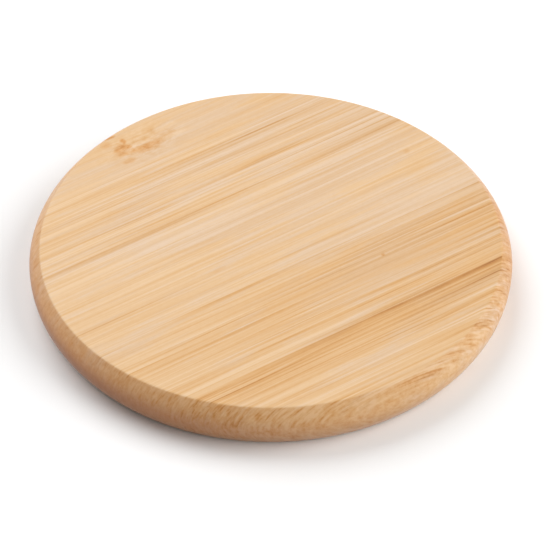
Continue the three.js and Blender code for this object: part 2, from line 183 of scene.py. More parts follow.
def cylinder(name, radius, length, centre, turn=(0, 0, 0), segments=32, top_radius=None):
    """A cylinder, or a cone frustum if top_radius is given, to join to or cut from something else."""
    end = radius if top_radius is None else top_radius
    bm = bmesh.new()
    bmesh.ops.create_cone(bm, cap_ends=True, segments=segments, radius1=radius, radius2=end, depth=length)
    bmesh.ops.transform(bm, matrix=Euler(turn).to_matrix().to_4x4(), verts=bm.verts)
    bmesh.ops.translate(bm, vec=centre, verts=bm.verts)
    return object_from_bmesh(name, bm)


def applied(obj):
    """Bakes obj's modifiers into its mesh."""
    bpy.context.view_layer.update()
    evaluated = obj.evaluated_get(bpy.context.evaluated_depsgraph_get())
    mesh = bpy.data.meshes.new_from_object(evaluated)
    obj.modifiers.clear()
    old, obj.data = obj.data, mesh
    bpy.data.meshes.remove(old)


def combined(obj, others, operation):
    """Adds the other solids to obj ("UNION") or takes them away ("DIFFERENCE"), and removes them."""
    for other in others:
        modifier = obj.modifiers.new("combine", "BOOLEAN")
        modifier.operation = operation
        modifier.solver = "EXACT"
        modifier.object = other
    applied(obj)
    for other in others:
        bpy.data.objects.remove(other)


def cut_away(obj, cutters):
    combined(obj, cutters, "DIFFERENCE")


def join_to(obj, others):
    combined(obj, others, "UNION")


def soften_edges(obj, width, chosen, segments=3):
    """Rounds the sharp edges for which chosen(midpoint in mm) is true."""
    bm = bmesh.new()
    bm.from_mesh(obj.data)
    weights = bm.edges.layers.float.new("bevel_weight_edge")
    for edge in bm.edges:
        middle = (edge.verts[0].co + edge.verts[1].co) / (2 * MM)
        is_sharp = len(edge.link_faces) == 2 and edge.calc_face_angle() > math.radians(40)
        edge[weights] = float(is_sharp and chosen(middle))
    bm.to_mesh(obj.data)
    bm.free()
    modifier = obj.modifiers.new("soften", "BEVEL")
    modifier.limit_method = "WEIGHT"
    modifier.width = width * MM
    modifier.segments = segments
    modifier.harden_normals = False
    applied(obj)
    obj.data.set_sharp_from_angle(angle=math.radians(35))


# ---------------------------------------------------------------- camera
CAMERA_AZIMUTH = -33.5  # degrees to the left of straight in front
CAMERA_ELEVATION = 43.38


def make_camera():
    """A long lens 700 mm away."""
    azimuth = math.radians(CAMERA_AZIMUTH)
    elevation = math.radians(CAMERA_ELEVATION)
    distance = 700
    camera_data = bpy.data.cameras.new("camera")
    camera_data.lens = 219.3
    camera_data.sensor_width = 36
    camera_data.clip_start = 0.01
    camera_data.clip_end = 20
    camera = new_object("camera", camera_data)
    level = Vector((-math.sin(azimuth), math.cos(azimuth), 0))
    away = level * math.cos(elevation) - Vector((0, 0, math.sin(elevation)))
    right = Vector((math.cos(azimuth), math.sin(azimuth), 0))
    up = right.cross(away)
    aim = 0.97 * right + 0.41 * up  # the disc sits a little left of and below the picture's middle
    camera.location = (aim - distance * away) * MM
    camera.rotation_euler = away.to_track_quat("-Z", "Y").to_euler()
    bpy.context.scene.camera = camera
    return camera


make_camera()


# ---------------------------------------------------------------- casing
def side_profile(steps=20):
    """The rounded side, from the base up: two parabolas that meet at the widest point."""
    points = []
    for i in range(steps + 1):
        share = i / steps
        inset = (PAD_RADIUS - BASE_FACE_RADIUS) * (1 - share) ** 2
        points.append((PAD_RADIUS - inset, BAMBOO_BOTTOM + share * (WIDEST_Z - BAMBOO_BOTTOM)))
    for i in range(1, steps + 1):
        share = i / steps
        inset = (PAD_RADIUS - TOP_FACE_RADIUS) * share**2
        points.append((PAD_RADIUS - inset, WIDEST_Z + share * (BAMBOO_TOP - WIDEST_Z)))
    return points


def softened(points, corner, reach, steps=5):
    """The points with those within reach of corner swapped for a smooth curve past it."""
    distances = [math.dist(point, corner) for point in points]
    near = [k for k, distance in enumerate(distances) if distance < reach]
    before, after = points[near[0] - 1], points[near[-1] + 1]
    triples = list(zip(before, corner, after))
    curve = []
    for i in range(1, steps):
        t = i / steps
        curve.append(tuple((1 - t) ** 2 * b + 2 * t * (1 - t) * c + t**2 * a for b, c, a in triples))
    return points[: near[0]] + curve + points[near[-1] + 1 :]


def bamboo_housing():
    ceiling = BAMBOO_TOP - MEMBRANE
    side = side_profile()
    crease = side[-1]
    top_rings = [(TOP_FACE_RADIUS - CREASE_SOFTENING * k, BAMBOO_TOP) for k in (1.2, 2, 4)]
    outside = softened(side + top_rings, crease, CREASE_SOFTENING)
    flat_top = [(radius, BAMBOO_TOP) for radius in (44, 38, 28, 14, 0)]
    inside = [(0, ceiling), (20, ceiling), (POCKET_RADIUS, ceiling), (POCKET_RADIUS, COVER_TOP)]
    chamfer = 0.15
    seat = [(SEAT_RADIUS, COVER_TOP), (SEAT_RADIUS, BAMBOO_BOTTOM + chamfer)]
    seat.append((SEAT_RADIUS + chamfer, BAMBOO_BOTTOM))
    rim_ring = [(BASE_FACE_RADIUS - 0.45, BAMBOO_BOTTOM)]
    profile = outside + flat_top + inside + seat + rim_ring
    housing = turned("bamboo_body", profile, 288)

    slot = port_prism("slot_cutter", rounded_rectangle(**PORT_SLOT), POCKET_RADIUS - 2, PAD_RADIUS + 2)
    wall_middle = (POCKET_RADIUS + round(PAD_RADIUS)) / 2
    pipe_centre = (pipe_low + pipe_high) / 2
    bore_centre = (pipe_centre.x, wall_middle, pipe_centre.z)
    bore = cylinder("bore_cutter", PIPE_BORE_RADIUS, 16, bore_centre, turn=(math.pi / 2, 0, 0))
    pilots = []
    for i, middle in enumerate(screw_centres("base_screw")):
        centre = (middle.x, middle.y, COVER_TOP + PILOT_DEPTH / 2 - 0.5)
        pilots.append(cylinder(f"pilot_cutter_{i}", PILOT_RADIUS, PILOT_DEPTH + 1, centre))
    cut_away(housing, [slot, bore, *pilots])

    def on_the_rim(point):
        at_edge = math.hypot(point.x, point.y) > PAD_RADIUS - 2
        between_faces = BAMBOO_BOTTOM + 0.3 < point.z < BAMBOO_TOP - 0.5
        return at_edge and between_faces and point.y > wall_middle

    soften_edges(housing, 0.2, on_the_rim)
    return housing


def fitted(piece, *nodes, slot=None):
    """Ties a piece to the pad's body and hides the CAD nodes that it stands for. The slot argument is not
    used.
    """
    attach(piece, "root")
    if nodes:
        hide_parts(*nodes)
    return piece


housing = fitted(bamboo_housing(), "bamboo_housing", slot="bamboo")


# ---------------------------------------------------------------- cover, foot ring and port
def blocks(name, boxes, edge):
    """One object made of (centre, size) boxes with their edges eased."""
    bm = bmesh.new()
    for centre, size in boxes:
        made = bmesh.ops.create_cube(bm, size=1)
        bmesh.ops.scale(bm, vec=size, verts=made["verts"])
        bmesh.ops.translate(bm, vec=centre, verts=made["verts"])
    bmesh.ops.bevel(bm, geom=bm.edges[:], offset=edge, segments=2, profile=0.5, affect="EDGES")
    return object_from_bmesh(name, bm, sharp_angle=50)


def base_cover():
    """The cover: a shallow round recess below, the groove for the foot ring, posts for the board."""
    low, high = cover_low.z, COVER_TOP
    floor_top, groove_top = low + COVER_FLOOR, low + GROOVE_DEPTH
    recess_top, recess_radius = low + LABEL_RECESS["depth"], LABEL_RECESS["radius"]
    recess = [(0, recess_top), (recess_radius, recess_top), (recess_radius + LABEL_RECESS["depth"], low)]
    groove = [(GROOVE[0], low), (GROOVE[0], groove_top), (GROOVE[1], groove_top), (GROOVE[1], low)]
    edge = [(COVER_RADIUS - 0.2, low), (COVER_RADIUS, low + 0.2), (COVER_RADIUS, high)]
    inside = [(FLANGE_INSIDE, high), (FLANGE_INSIDE, floor_top), (20, floor_top), (0, floor_top)]
    cover = turned("base_cover_moulding", recess + groove + edge + inside, 192)
    posts, cutters = [], []
    for i, centre in enumerate(screw_centres("pcb_screw")):
        post_centre = (centre.x, centre.y, floor_top + POST["height"] / 2 - 0.1)
        posts.append(cylinder(f"post_{i}", POST["radius"], POST["height"] + 0.2, post_centre, segments=40))
        cutters.append(cylinder(f"post_bore_{i}", POST["bore"], 2.0, (centre.x, centre.y, low + 1.5)))
    for i, centre in enumerate(screw_centres("base_screw")):
        cutters.append(cylinder(f"screw_hole_{i}", PILOT_RADIUS, 4, (centre.x, centre.y, groove_top + 1)))
        sink_centre = (centre.x, centre.y, groove_top + 0.45)
        cutters.append(cylinder(f"countersink_{i}", 1.8, 1.0, sink_centre, top_radius=PILOT_RADIUS))
    join_to(cover, posts)
    cut_away(cover, cutters)
    soften_edges(cover, 0.1, lambda point: True, segments=2)
    return fitted(cover, "base_cover", slot="cover_plastic")


def foot_ring(ribs=4, rib_depth=0.14):
    """The silicone ring, with narrow grooves between the round ribs that it stands on."""
    inner, outer, top = GROOVE[0] + 0.1, ring_high.x, ring_high.z
    shoulder, steps = 0.2, ribs * 8
    foot = []
    for i in range(steps + 1):
        share = i / steps
        radius = inner + shoulder + share * (outer - inner - 2 * shoulder)
        foot.append((radius, rib_depth * abs(math.cos(math.pi * ribs * share)) ** 3))
    outside = [(outer, shoulder + rib_depth), (outer, top - 0.1), (outer - 0.1, top)]
    inside = [(inner + 0.1, top), (inner, top - 0.1), (inner, shoulder + rib_depth)]
    ring = turned("foot_ring_ribbed", foot + outside + inside, 192, sharp_angle=60)
    return fitted(ring, "anti_slip_ring", slot="silicone")


def racetrack(grow):
    """The receptacle's outline with round ends, grown by that much all round."""
    width = shell_high.x - shell_low.x + 2 * grow
    height = 2 * (shell_high.z - PORT_Z) + 2 * grow
    return rounded_rectangle(width, height, height * 0.49, steps=16)


def port_surround():
    """The bezel that closes the slot round the receptacle."""
    width, height = bezel_high.x - bezel_low.x, bezel_high.z - bezel_low.z
    outline = rounded_rectangle(width, height, PORT_SLOT["corner"] - 0.1, steps=16)
    bezel = port_prism("port_surround", outline, bezel_low.y, bezel_high.y)
    hole = port_prism("bezel_hole", racetrack(0.17), bezel_low.y - 1, bezel_high.y + 1)
    cut_away(bezel, [hole])
    soften_edges(bezel, 0.25, lambda point: point.y > bezel_high.y - 0.1, segments=4)
    return fitted(bezel, "port_bezel", slot="cover_plastic")


def receptacle_shell():
    """The drawn steel shell, closed behind, with four legs that stand in the board."""
    shell = port_prism("usb_c_shell_drawn", racetrack(0), shell_low.y, shell_high.y)
    hollow = port_prism("shell_hollow", racetrack(-SHELL_WALL), shell_low.y + SHELL_WALL, shell_high.y + 1)
    leg_width, leg_length, leg_top = 0.27, 1.0, PORT_Z - 0.4
    leg_size = (leg_width, leg_length, leg_top - shell_low.z)
    legs = []
    for side in (-1, 1):
        for leg_y in (42.4, 45.9):
            centre = (side * (shell_high.x - leg_width / 2), leg_y, (leg_top + shell_low.z) / 2)
            legs.append((centre, leg_size))
    join_to(shell, [blocks("shell_legs", legs, edge=0.03)])
    cut_away(shell, [hollow])
    soften_edges(shell, 0.1, lambda point: point.y > shell_high.y - 0.1)
    return fitted(shell, "usb_c_shell", slot="receptacle_steel")


def receptacle_tongue():
    """The moulded tongue: a root that fills the shell, and the thin blade that carries the contacts."""
    root_outline = racetrack(-SHELL_WALL - 0.07)
    tongue = port_prism("usb_c_tongue_moulding", root_outline, tongue_low.y, TONGUE_ROOT_END)
    outline = rounded_rectangle(**BLADE, steps=4)
    join_to(tongue, [port_prism("blade", outline, TONGUE_ROOT_END - 0.5, tongue_high.y)])
    soften_edges(tongue, 0.08, lambda point: point.y > TONGUE_ROOT_END - 0.1, segments=2)
    return fitted(tongue, "usb_c_tongue", slot="connector_plastic")


def receptacle_contacts(count=12, pitch=0.5):
    """The gold contacts on both faces of the blade. Power and ground are longer, so they meet first."""
    long_ones = (0, 3, 8, 11)
    contacts = []
    for i in range(count):
        x = (i - (count - 1) / 2) * pitch
        length = 3.7 if i in long_ones else 3.1
        for side in (-1, 1):
            centre = (x, TONGUE_ROOT_END + 0.2 + length / 2, PORT_Z + side * BLADE["height"] / 2)
            contacts.append((centre, (0.25, length, 0.06)))
    return fitted(blocks("usb_c_contacts", contacts, edge=0.015))


def light_pipe():
    """A moulded acrylic rod with a slightly domed outer end."""
    centre, size = middle_of("light_pipe")
    radius, length, dome_height = size.x / 2, size.y, 0.25
    dome = []
    for angle in (math.radians(degrees) for degrees in (90, 70, 50, 30, 15)):
        dome.append((radius * math.sin(angle), length - dome_height * (1 - math.cos(angle))))
    foot = [(0, 0), (radius - 0.1, 0), (radius, 0.1)]
    pipe = turned("light_pipe_moulding", [*foot, *dome, (0, length)], 48, 60)
    pipe.data.transform(Euler((-math.pi / 2, 0, 0)).to_matrix().to_4x4())
    pipe.data.transform(Matrix.Translation(Vector((centre.x, pipe_low.y, centre.z)) * MM))
    return fitted(pipe, "light_pipe", slot="clear_acrylic")


cover = base_cover()
ring = foot_ring()
bezel = port_surround()
shell = receptacle_shell()
tongue = receptacle_tongue()
contacts = receptacle_contacts()
pipe = light_pipe()


# ---------------------------------------------------------------- screws
def thread(name, radius, start, finish, pitch, steps=24, depth=0.13):
    """A ridge of triangular section that winds up round +Z and runs out at both ends."""
    half_height, root = pitch * 0.3, radius - 0.06
    count = round((finish - start) / pitch * steps)
    bm = bmesh.new()
    rings = []
    for i in range(count + 1):
        angle = 2 * math.pi * i / steps
        height = start + pitch * i / steps
        crest = radius + depth * min(1, i / 6, (count - i) / 6)
        section = []
        for r, up in ((root, half_height), (crest, 0), (root, -half_height)):
            section.append((r * math.cos(angle), r * math.sin(angle), height + up))
        rings.append([bm.verts.new(point) for point in section])
    skin(bm, rings)
    return object_from_bmesh(name, bm)


def screws(kind, profile, face, winding):
    """Screws of one kind, each with a cross recess in its face and a winding: radius, start and end."""
    arm_length, arm_width, depth = 1.85, 0.42, 0.55
    pattern = turned(f"{kind}_pattern", profile, 48)
    cross, bar = (
        blocks(f"recess_bar_{i}", [((0, 0, face), size)], edge=0.03)
        for i, size in enumerate(((arm_length, arm_width, 2 * depth), (arm_width, arm_length, 2 * depth)))
    )
    join_to(cross, [bar])
    cut_away(pattern, [cross])
    join_to(pattern, [thread(f"{kind}_thread", *winding, pitch=0.7)])
    made = []
    for i, centre in enumerate(screw_centres(kind)):
        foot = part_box(f"{kind}_{i + 1}")[0].z
        screw = new_object(f"{kind}_threaded_{i + 1}", pattern.data.copy())
        screw.data.transform(Matrix.Translation(Vector((centre.x * MM, centre.y * MM, foot))))
        made.append(fitted(screw, f"{kind}_{i + 1}", slot="screw_steel"))
    bpy.data.objects.remove(pattern)
    return made


def cover_screws():
    head, shank, cone, length, flat = 1.65, 0.95, 0.9, 5.5, 0.08
    profile = [(0, 0), (head - flat, 0), (head, flat), (shank, cone)]
    profile += [(shank, length - 0.8), (0.3, length - 0.05), (0, length)]
    return screws("base_screw", profile, face=0, winding=(shank, 1.3, 4.4))


def board_screws():
    head, shank, under_head, length = 1.7, 0.8, 2.4, 3.4
    profile = [(0, 0), (0.5, 0), (shank, 0.35), (shank, under_head), (head, under_head)]
    profile += [(head, length - 0.45), (head - 0.2, length - 0.12), (head - 0.7, length), (0, length)]
    return screws("pcb_screw", profile, face=length, winding=(shank, 0.65, 2.05))


# ---------------------------------------------------------------- coil
WIRE_RADIUS = 0.5
COIL_Z = 7.3
INNER_LEAD = [
    (-4.2, 31.2, 4.15),
    (-4.2, 29.8, 4.4),
    (-2.8, 28.4, 5.0),
    (-1.3, 27.2, 5.7),
    (0.0, 25.8, 6.15),
    (0.0, 22.0, 6.15),
    (0.0, 12.0, 6.15),
    (0.0, 9.8, 6.2),
    (0.0, 8.2, 6.7),
    (-0.1, 6.8, 7.2),
    (-0.9, 5.6, COIL_Z),
    (-2.8, 5.0, COIL_Z),
    (-6.0, 5.4, COIL_Z),
    (-8.8, 5.2, COIL_Z),
]
OUTER_LEAD = [
    (11.2, 20.2, COIL_Z),
    (9.2, 23.9, COIL_Z),
    (7.4, 26.4, 6.6),
    (5.6, 28.8, 5.2),
    (4.2, 30.2, 4.35),
    (4.0, 31.4, 4.15),
]


def smooth_route(points, step):
    """Points about one step apart on a Catmull-Rom curve through the given ones."""
    ends = [2 * points[0] - points[1], *points, 2 * points[-1] - points[-2]]
    route = []
    for before, here, there, after in zip(ends, ends[1:], ends[2:], ends[3:]):
        count = max(1, round((there - here).length / step))
        for i in range(count):
            t = i / count
            bend = (2 * before - 5 * here + 4 * there - after) * t**2
            turn = (3 * here - before - 3 * there + after) * t**3
            route.append(here + 0.5 * ((there - before) * t + bend + turn))
    return [*route, points[-1]]


def coil_route():
    turns, inner_radius, pitch, start, per_turn = 9.7, 10.8, 1.17, 2.8, 24
    spiral = []
    for i in range(round(turns * per_turn) + 1):
        radius = inner_radius + i / per_turn * pitch
        angle = start + 2 * math.pi * i / per_turn
        spiral.append((radius * math.cos(angle), radius * math.sin(angle), COIL_Z))
    return smooth_route([Vector(point) for point in INNER_LEAD + spiral + OUTER_LEAD], step=0.7)


def litz_coil(bundles=7, lay=7.0):
    """The transmitter coil: one litz wire whose twisted bundles show as shallow lobes along it."""
    route = coil_route()
    bm = bmesh.new()
    rings = []
    travelled = 0
    for i, point in enumerate(route):
        before, after = route[max(i - 1, 0)], route[min(i + 1, len(route) - 1)]
        ahead = (after - before).normalized()
        sideways = ahead.cross(Vector((0, 0, 1))).normalized()
        upward = sideways.cross(ahead)
        travelled += (point - before).length
        section = []
        for k in range(2 * bundles):
            angle = math.pi * k / bundles + 2 * math.pi * travelled / lay
            radius = WIRE_RADIUS * (1.0 if k % 2 else 0.88)
            outward = math.cos(angle) * sideways + math.sin(angle) * upward
            section.append(bm.verts.new(point + radius * outward))
        rings.append(section)
    skin(bm, rings)
    return fitted(object_from_bmesh("tx_coil_litz", bm, 80), "tx_coil", slot="copper_wire")


def lead_joints():
    """The solder that holds the coil's two leads to the board."""
    half_width, half_length, height, flat = 1.0, 1.4, 0.95, -0.15
    bm = bmesh.new()
    for x, y, _ in (INNER_LEAD[0], OUTER_LEAD[-1]):
        for vert in bmesh.ops.create_uvsphere(bm, u_segments=32, v_segments=16, radius=1)["verts"]:
            lift = max(vert.co.z, flat)
            flare = 1 + 0.35 * (1 - abs(lift)) ** 3
            across, along = half_width * vert.co.x * flare, half_length * vert.co.y * flare
            vert.co = (x + across, y + along, board_high.z + 0.05 + height * lift)
    return fitted(object_from_bmesh("coil_lead_solder", bm, 80))


# ---------------------------------------------------------------- foam
def foam_pad(layers=8, bulge=0.35):
    """The foam spacer, squeezed between the cover and the film, so that its sides swell."""
    centre, size = (foam_low + foam_high) / 2, foam_high - foam_low
    bm = bmesh.new()
    rings = []
    for i in range(layers + 1):
        share = i / layers
        swell = bulge * (math.sin(math.pi * share) - 1)
        outline = rounded_rectangle(size.x + 2 * swell, size.y + 2 * swell, 3.0, steps=8)
        z = foam_low.z + share * size.z
        rings.append([bm.verts.new((centre.x + x, centre.y + y, z)) for x, y in outline])
    skin(bm, rings)
    pad = fitted(object_from_bmesh("foam_spacer_pad", bm, 60), "foam_spacer", slot="foam")
    return pad


# ---------------------------------------------------------------- what is soldered to the board
END_CAPPED = [f"resonant_capacitor_{i + 1}" for i in range(4)]
END_CAPPED += ["input_capacitor_1", "input_capacitor_2", "current_sense_resistor"]
PAD_PITCHES = {"control_ic": 0.5, "bridge_mosfet_1": 0.65, "bridge_mosfet_2": 0.65}


def end_caps(node, reach=0.5, thickness=0.03):
    """The two tinned ends of a capacitor or resistor."""
    centre, size = middle_of(node)
    axis = 0 if size.x > size.y else 1
    boxes = []
    for side in (-1, 1):
        cap_centre = centre + Vector((0, 0, thickness / 2))
        cap_size = size + Vector((2 * thickness, 2 * thickness, thickness))
        cap_centre[axis] += side * (size[axis] - reach) / 2
        cap_size[axis] = reach + 2 * thickness
        boxes.append((cap_centre, cap_size))
    return fitted(blocks(f"{node}_ends", boxes, edge=0.08))


def package_pads(node, pitch, length=0.4, showing=0.18, height=0.2):
    """The tinned pads that show round the foot of a leadless chip."""
    centre, size = middle_of(node)
    z = centre.z - size.z / 2 + height / 2
    reach = size.x / 2 + showing - length / 2
    count = int((size.x - 0.8) / pitch) + 1
    boxes = []
    for i in range(count):
        shift = (i - (count - 1) / 2) * pitch
        for side in (-1, 1):
            boxes.append(((centre.x + side * reach, centre.y + shift, z), (length, pitch / 2, height)))
            boxes.append(((centre.x + shift, centre.y + side * reach, z), (pitch / 2, length, height)))
    return fitted(blocks(f"{node}_pads", boxes, edge=0.03))


def led_window():
    """The phosphor window on the face of the LED that looks into the light pipe."""
    centre, size = middle_of("indicator_led")
    window_centre = centre + Vector((0, size.y / 2, 0))
    window_size = (size.x - 0.8, 0.08, size.z - 0.7)
    return fitted(blocks("indicator_led_window", [(window_centre, window_size)], edge=0.03))


screw_pieces = cover_screws() + board_screws()
coil = litz_coil()
foam = foam_pad()
tinned_pieces = [end_caps(node) for node in END_CAPPED]
tinned_pieces += [package_pads(node, pitch) for node, pitch in PAD_PITCHES.items()]
tinned_pieces.append(lead_joints())
window = led_window()


# ---------------------------------------------------------------- material helpers
def srgb(red, green, blue):
    """An 8-bit screen colour as the linear RGBA that shaders use."""
    channels = []
    for value in (red, green, blue):
        share = value / 255
        channels.append(share / 12.92 if share <= 0.04045 else ((share + 0.055) / 1.055) ** 2.4)
    return (*channels, 1.0)


class Signal:
    """A node's output as a number that can be added, subtracted, multiplied and so on in Python."""

    def __init__(self, paint, socket):
        self.paint = paint
        self.socket = socket

    def __add__(self, other):
        return self.paint.math("ADD", self, other)

    def __radd__(self, other):
        return self.paint.math("ADD", other, self)

    def __sub__(self, other):
        return self.paint.math("SUBTRACT", self, other)

    def __rsub__(self, other):
        return self.paint.math("SUBTRACT", other, self)

    def __mul__(self, other):
        return self.paint.math("MULTIPLY", self, other)

    def __rmul__(self, other):
        return self.paint.math("MULTIPLY", other, self)

    def __truediv__(self, other):
        return self.paint.math("DIVIDE", self, other)

    def __abs__(self):
        return self.paint.math("ABSOLUTE", self)


class Paint:
    """Builds the nodes of one material. Its methods take numbers, colours and Signals alike."""

    def __init__(self, name):
        self.material = bpy.data.materials.new(name)
        self.material.use_nodes = True
        self.tree = self.material.node_tree
        self.shader = self.tree.nodes["Principled BSDF"]
        self.point = None

    def plug(self, socket, value):
        if isinstance(value, Signal):
            self.tree.links.new(value.socket, socket)
        else:
            socket.default_value = value

    def node(self, kind, inputs, output=0, **settings):
        """A new node with its settings and inputs, as the Signal of one of its outputs."""
        made = self.tree.nodes.new(kind)
        for key, value in settings.items():
            setattr(made, key, value)
        for key, value in inputs.items():
            self.plug(made.inputs[key], value)
        return Signal(self, made.outputs[output])

    def set(self, **values):
        """Sets the shader's own sockets: base_color=... sets "Base Color", and so on."""
        names = {socket.name.lower().replace(" ", "_"): socket for socket in self.shader.inputs}
        for key, value in values.items():
            self.plug(names[key], value)

    def math(self, operation, *values):
        return self.node("ShaderNodeMath", dict(enumerate(values)), operation=operation)

    def parts(self, vector):
        """The x, y and z of a vector Signal."""
        outputs = self.node("ShaderNodeSeparateXYZ", {0: vector}).socket.node.outputs
        return tuple(Signal(self, outputs[axis]) for axis in "XYZ")

    def place(self):
        """The point being shaded, as x, y and z in millimetres."""
        if self.point is None:
            point = self.parts(self.node("ShaderNodeTexCoord", {}, output="Object"))
            self.point = tuple(part * (1 / MM) for part in point)
        return self.point

    def normal(self):
        """The surface's own direction, as x, y and z."""
        return self.parts(self.node("ShaderNodeNewGeometry", {}, output="Normal"))

    def vector(self, x, y, z):
        return self.node("ShaderNodeCombineXYZ", {0: x, 1: y, 2: z})

    def noise(self, x, y, z, detail=2.0, roughness=0.5):
        """Soft noise about zero, mostly within -0.25 to 0.25, with features one unit across."""
        inputs = {"Vector": self.vector(x, y, z), "Scale": 1.0, "Detail": detail, "Roughness": roughness}
        return self.node("ShaderNodeTexNoise", inputs) - 0.5

    def grain(self, *size, detail=2, roughness=0.5):
        """Noise whose features are that many millimetres across, or that many in x, y and z."""
        sizes = size if len(size) == 3 else size * 3
        stretched = [part / width for part, width in zip(self.place(), sizes)]
        return self.noise(*stretched, detail, roughness)

    def cells(self, x, y, z, randomness=1.0):
        """The distance to the nearest of a field of scattered points about one unit apart."""
        inputs = {"Vector": self.vector(x, y, z), "Scale": 1.0, "Randomness": randomness}
        return self.node("ShaderNodeTexVoronoi", inputs, output="Distance")

    def rise(self, value, low, high):
        """A smooth step from 0 at low to 1 at high, or down from 1 if high is the smaller."""
        ends = (low, high, 0.0, 1.0) if low < high else (high, low, 1.0, 0.0)
        inputs = dict(zip(("Value", "From Min", "From Max", "To Min", "To Max"), (value, *ends)))
        return self.node("ShaderNodeMapRange", inputs, interpolation_type="SMOOTHSTEP", clamp=True)

    def blend(self, factor, first, second, mode="MIX"):
        """Two colours mixed."""
        settings = {"data_type": "RGBA", "blend_type": mode, "clamp_factor": True}
        mixed = self.node("ShaderNodeMix", {"Factor": factor}, output=2, **settings)
        inputs = mixed.socket.node.inputs
        self.plug(inputs[6], first)
        self.plug(inputs[7], second)
        return mixed

    def ramp(self, value, stops):
        """A colour picked from (position, colour) stops."""
        made = self.node("ShaderNodeValToRGB", {0: value})
        elements = made.socket.node.color_ramp.elements
        while len(elements) < len(stops):
            elements.new(1.0)
        for element, (position, colour) in zip(elements, stops):
            element.position = position
            element.color = colour
        return made

    def two_tones(self, value, dark, pale, span=(0.2, 0.8)):
        """A colour that goes from dark to pale as value rises through the span."""
        return self.ramp(value, [(span[0], srgb(*dark)), (span[1], srgb(*pale))])

    def finish(self, tone, dark, pale, bump, span=(0.2, 0.8), **values):
        """Sets a two-tone colour, a bump of (height, millimetres) and other sockets; gives the material."""
        self.set(base_color=self.two_tones(tone, dark, pale, span), **values)
        self.bump(*bump)
        return self.material

    def tinted(self, factor, colour, tint):
        """The colour multiplied by a tint, as far as factor says."""
        return self.blend(factor, colour, self.blend(1.0, colour, tint, mode="MULTIPLY"))

    def bump(self, height, distance):
        """A height in distances of that many millimetres, wired to the shader's normal."""
        inputs = {"Height": height, "Distance": distance * MM, "Strength": 1.0}
        self.set(normal=self.node("ShaderNodeBump", inputs))


# ---------------------------------------------------------------- bamboo
# Darker (or, below zero, paler) lines along the grain: where across it, how far each fades above and below,
# where it starts and ends along the grain, and how strong it is.
STREAKS = [
    (34.8, 0.3, 0.6, -60, 12, 0.17),
    (30.0, 0.3, 0.4, -60, 30, 0.09),
    (28.6, 0.25, 0.5, -60, 4, 0.16),
    (25.7, 0.4, 0.4, -60, 60, 0.10),
    (21.1, 0.7, 0.6, -60, 25, -0.12),
    (19.4, 0.45, 0.55, -60, 40, 0.22),
    (16.7, 0.5, 0.7, -60, 60, 0.20),
    (14.4, 0.6, 0.6, -16, 60, -0.13),
    (12.2, 0.7, 0.7, -60, 0, -0.09),
    (5.7, 0.25, 0.3, -25, 12, 0.12),
    (-1.7, 0.25, 0.3, -60, -14, 0.20),
    (-5.3, 0.3, 0.3, -60, 8, 0.14),
    (-8.5, 0.3, 0.5, -26, 60, 0.22),
    (-10.6, 0.5, 0.5, -60, 60, 0.10),
    (-11.7, 0.25, 0.4, -60, 2, 0.14),
    (-13.5, 0.25, 0.3, 2, 60, 0.22),
    (-15.7, 0.4, 0.4, -60, 60, -0.08),
    (-17.3, 0.4, 0.5, -60, 60, 0.10),
    (-23.8, 0.35, 0.7, -60, 60, 0.17),
    (-25.5, 0.5, 0.5, -60, 12, 0.16),
    (-27.7, 0.5, 0.5, -60, 5, -0.10),
    (-29.7, 0.35, 5.5, -60, 60, 0.24),
    (-29.6, 0.3, 0.9, -30, 60, 0.26),
    (-32.2, 0.3, 0.4, -60, -14, 0.14),
    (-33.2, 0.3, 0.35, -60, 8, -0.13),
    (-33.9, 0.3, 0.35, -14, 60, 0.14),
    (-36.6, 0.3, 0.3, 5, 60, 0.12),
    (-37.3, 0.3, 0.3, -30, 60, 0.14),
    (-38.3, 0.35, 0.4, -60, 60, -0.14),
    (-40.2, 0.25, 0.35, -60, -12, 0.16),
    (-41.8, 0.35, 0.5, -20, 60, 0.18),
]
# The board is glued up from strips of bamboo. Going up, where each ends across the grain, its tone at the
# middle, how much the tone falls per millimetre along the grain, and how strongly its fibres show.
STRIPS = [
    (-37.8, 0.77, 0.0008, 1.1),
    (-29.2, 0.68, 0.0022, 1.2),
    (-8.3, 0.72, 0.0022, 1.0),
    (14.0, 0.83, 0.0003, 0.7),
    (35.0, 0.81, 0.0006, 1.1),
    (99.0, 0.80, 0.0006, 0.4),
]
KNUCKLE = (-5.5, 41.0)  # a joint of the cane, in the rearmost strip
# Stains and pits: where each is along and across the grain, its half length and half width, its strength.
STAINS = [
    (-10.2, 41.4, 2.1, 2.0, 0.48),
    (-5.4, 39.6, 3.6, 1.3, 0.48),
    (-1.5, 41.0, 4.0, 1.6, 0.12),
    (-11.0, 37.8, 1.6, 0.8, 0.26),
    (-12.6, 44.7, 1.2, 1.4, 0.22),
    (-8.8, 44.0, 0.6, 0.8, 0.50),
    (-8.6, 41.3, 0.7, 0.7, 0.45),
    (-10.8, 46.4, 1.5, 0.45, 0.65),
    (17.2, -15.9, 0.4, 0.35, 0.30),
    (39.8, 7.8, 0.9, 0.7, 0.16),
    (-13.5, -1.0, 2.2, 0.5, 0.14),
]


def strip_tones(paint, x, across):
    """The bare tone of the strip that a point is in, and how strongly fibres show there."""
    tone, contrast = None, None
    for (_, strip_tone, fall, strip_contrast), edge in zip(STRIPS, [None] + [strip[0] for strip in STRIPS]):
        here = strip_tone - x * fall
        if tone is None:
            tone, contrast = here, strip_contrast
            continue
        inside = paint.rise(across, edge - 0.2, edge + 0.2)
        tone = tone + inside * (here - tone)
        contrast = contrast + inside * (strip_contrast - contrast)
    return tone, contrast


